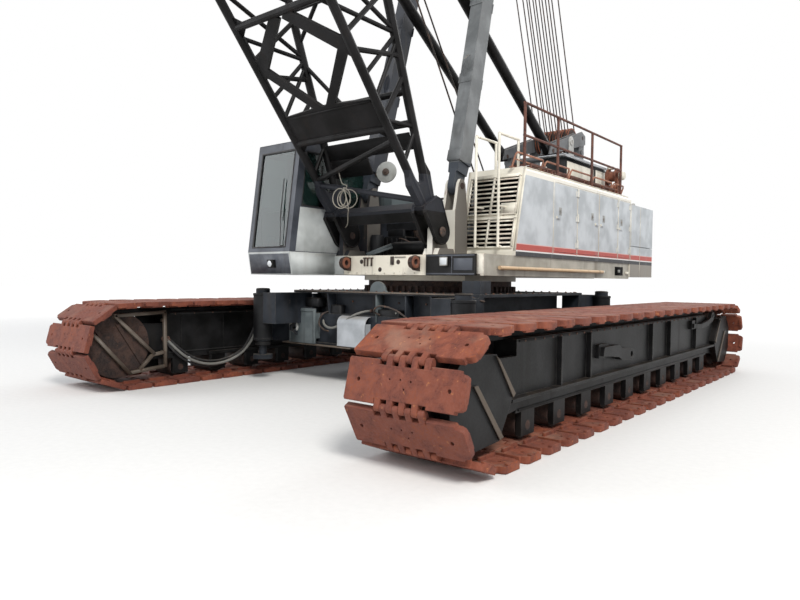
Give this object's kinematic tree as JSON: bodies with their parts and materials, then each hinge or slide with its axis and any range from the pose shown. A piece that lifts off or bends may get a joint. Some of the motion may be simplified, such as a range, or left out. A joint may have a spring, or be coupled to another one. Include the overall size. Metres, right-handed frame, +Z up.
{
  "type": "lattice boom crawler crane",
  "caption": "Crawler crane with a half raised lattice boom, live mast, backstops, slewing upper works, cab, machinery house and two wide tracks.",
  "frame": {"origin": "on the ground on the slewing axis", "axes": "+X to the machine's left, +Y to its rear, +Z up"},
  "size_m": [7.22, 18.0908, 21.0033],
  "materials": {
    "black_steel": "satin",
    "cab_grey": "satin",
    "cream": "satin",
    "dark_frame": "satin",
    "engine_grey": "rough",
    "glass": "gloss",
    "hook_yellow": "satin",
    "mast_grey": "satin",
    "pale_grey": "satin",
    "rope_steel": "satin",
    "rust": "rough",
    "rusty_brown": "rough",
    "seat_black": "matte"
  },
  "bodies": {
    "carbody": {"carbody": "dark_frame", "slew_ring": "rusty_brown", "jacks": "dark_frame", "track_left": "rust", "track_right": "rust", "side_frame_left": "dark_frame", "side_frame_right": "dark_frame", "wheels_left": "rusty_brown", "wheels_right": "rusty_brown", "final_drives": "dark_frame"},
    "boom": {"boom_butt": "black_steel", "boom_top": "black_steel", "tip_sheaves": "rusty_brown"},
    "hook": {"hook_block": "hook_yellow"},
    "mast": {"mast": "mast_grey", "mast_sheaves": "rusty_brown"},
    "pendants": {"pendants": "rope_steel"},
    "backstop_tubes": {"backstop_tubes": "black_steel"},
    "backstop_rods": {"backstop_rods": "rope_steel"},
    "cab_door": {"cab_door": "cab_grey", "cab_door_glass": "glass"},
    "front_drum": {"front_drum": "dark_frame"},
    "rear_drum": {"rear_drum": "dark_frame"},
    "boom_hoist_drum": {"boom_hoist_drum": "black_steel"},
    "side_door_1": {"side_door_1": "pale_grey"},
    "side_door_2": {"side_door_2": "pale_grey"},
    "side_door_3": {"side_door_3": "pale_grey"},
    "side_door_4": {"side_door_4": "pale_grey"},
    "upper": {"deck_frame": "cream", "drum_stands": "dark_frame", "pins_and_lugs": "rusty_brown", "house_left": "cream", "house_grille": "cream", "engine_block": "engine_grey", "tank_house_right": "pale_grey", "counterweight": "pale_grey", "roof_rail": "rusty_brown", "grab_rails": "cream", "roof_box": "cream", "cab_shell": "cab_grey", "cab_glass": "glass", "cab_base": "cab_grey", "cab_seat": "seat_black", "lamps": "dark_frame", "gantry": "cream", "bail_sheaves": "rusty_brown"}
  },
  "joints": [
    {"name": "swing", "type": "hinge", "parent": "carbody", "child": "upper", "pos_m": [0, 0, 1.59], "axis": [0, 0, 1], "continuous": true},
    {"name": "boom_luff", "type": "hinge", "parent": "upper", "child": "boom", "pos_m": [0, -1.33, 2.28], "axis": [-1, 0, 0], "range_deg": [-60, 22]},
    {"name": "mast_luff", "type": "hinge", "parent": "upper", "child": "mast", "pos_m": [0, -0.82, 2.98], "axis": [-1, 0, 0], "range_deg": [-66, 24.5]},
    {"name": "stay_swing", "type": "hinge", "parent": "mast", "child": "pendants", "pos_m": [0, 1.52356, 12.04186], "axis": [-1, 0, 0], "range_deg": [-3, 7.5]},
    {"name": "backstop_tilt", "type": "hinge", "parent": "upper", "child": "backstop_tubes", "pos_m": [0, 2.85, 4.12], "axis": [-1, 0, 0], "range_deg": [-39, 14.5]},
    {"name": "backstop_slide", "type": "slide", "parent": "backstop_tubes", "child": "backstop_rods", "axis": [0, -0.8467, 0.532], "range_m": [-1.2, 3.3]},
    {"name": "hook_swing", "type": "hinge", "parent": "boom", "child": "hook", "pos_m": [0, -12.58622, 20.37634], "axis": [-1, 0, 0], "range_deg": [-23, 61]},
    {"name": "cab_door_slide", "type": "slide", "parent": "upper", "child": "cab_door", "axis": [0, 1, 0], "range_m": [0, 0.68]},
    {"name": "front_drum_spin", "type": "hinge", "parent": "upper", "child": "front_drum", "pos_m": [0, 0.35, 2.56], "axis": [1, 0, 0], "continuous": true},
    {"name": "rear_drum_spin", "type": "hinge", "parent": "upper", "child": "rear_drum", "pos_m": [0, 1.65, 2.56], "axis": [1, 0, 0], "continuous": true},
    {"name": "boom_hoist_spin", "type": "hinge", "parent": "upper", "child": "boom_hoist_drum", "pos_m": [0, 2.45, 2.45], "axis": [1, 0, 0], "continuous": true},
    {"name": "side_door_1_hinge", "type": "hinge", "parent": "upper", "child": "side_door_1", "pos_m": [1.782, 1.374, 2.6], "axis": [0, 0, 1], "range_deg": [0, 85]},
    {"name": "side_door_2_hinge", "type": "hinge", "parent": "upper", "child": "side_door_2", "pos_m": [1.782, 1.406, 2.6], "axis": [0, 0, -1], "range_deg": [0, 85]},
    {"name": "side_door_3_hinge", "type": "hinge", "parent": "upper", "child": "side_door_3", "pos_m": [1.782, 3.174, 2.6], "axis": [0, 0, 1], "range_deg": [0, 85]},
    {"name": "side_door_4_hinge", "type": "hinge", "parent": "upper", "child": "side_door_4", "pos_m": [1.782, 3.794, 2.6], "axis": [0, 0, 1], "range_deg": [0, 85]}
  ],
  "couplings": [
    {"joint": "mast_luff", "follows": "boom_luff", "ratio": 1.0845},
    {"joint": "stay_swing", "follows": "boom_luff", "ratio": -0.1206},
    {"joint": "backstop_tilt", "follows": "boom_luff", "ratio": 0.605},
    {"joint": "backstop_slide", "follows": "boom_luff", "m_per_rad": -3.08},
    {"joint": "hook_swing", "follows": "boom_luff", "ratio": -1}
  ]
}
